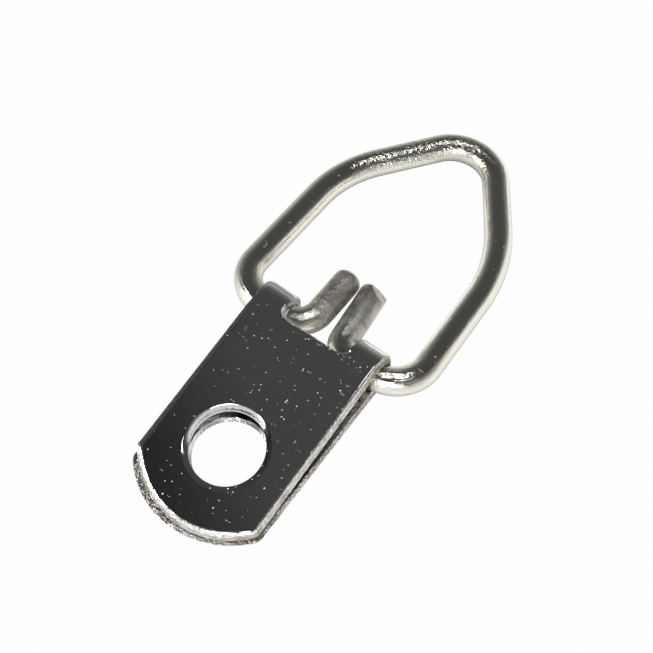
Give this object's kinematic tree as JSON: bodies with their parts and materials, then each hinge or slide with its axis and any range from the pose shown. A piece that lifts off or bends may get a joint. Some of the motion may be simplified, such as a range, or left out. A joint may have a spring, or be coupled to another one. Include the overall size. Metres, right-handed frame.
{
  "type": "d-ring picture hanger",
  "caption": "Folded sheet-metal strap with a screw hole, hinged on a pointed wire ring whose cut ends turn up as prongs; hangs a picture frame from a hook or cord.",
  "frame": {"origin": "middle of the overall length and width, on the plane of the strap's back face", "axes": "+X along the hinge axis, +Y from the strap's tip towards the ring's apex, +Z out of the front leaf, away from the frame it is screwed to"},
  "size_m": [0.0188, 0.0418, 0.0038],
  "materials": {
    "strap_plating": "bright nickel plate on punched sheet steel, finely pitted",
    "wire_plating": "nickel plate on drawn steel wire, a little duller, with draw lines"
  },
  "bodies": {
    "strap": {"folded_strap": "strap_plating"},
    "ring": {"wire_ring": "wire_plating"}
  },
  "joints": [
    {"name": "ring_hinge", "type": "hinge", "parent": "strap", "child": "ring", "pos_m": [0, -0.00287, 0.00192], "axis": [1, 0, 0], "range_deg": [-50, 62]}
  ]
}
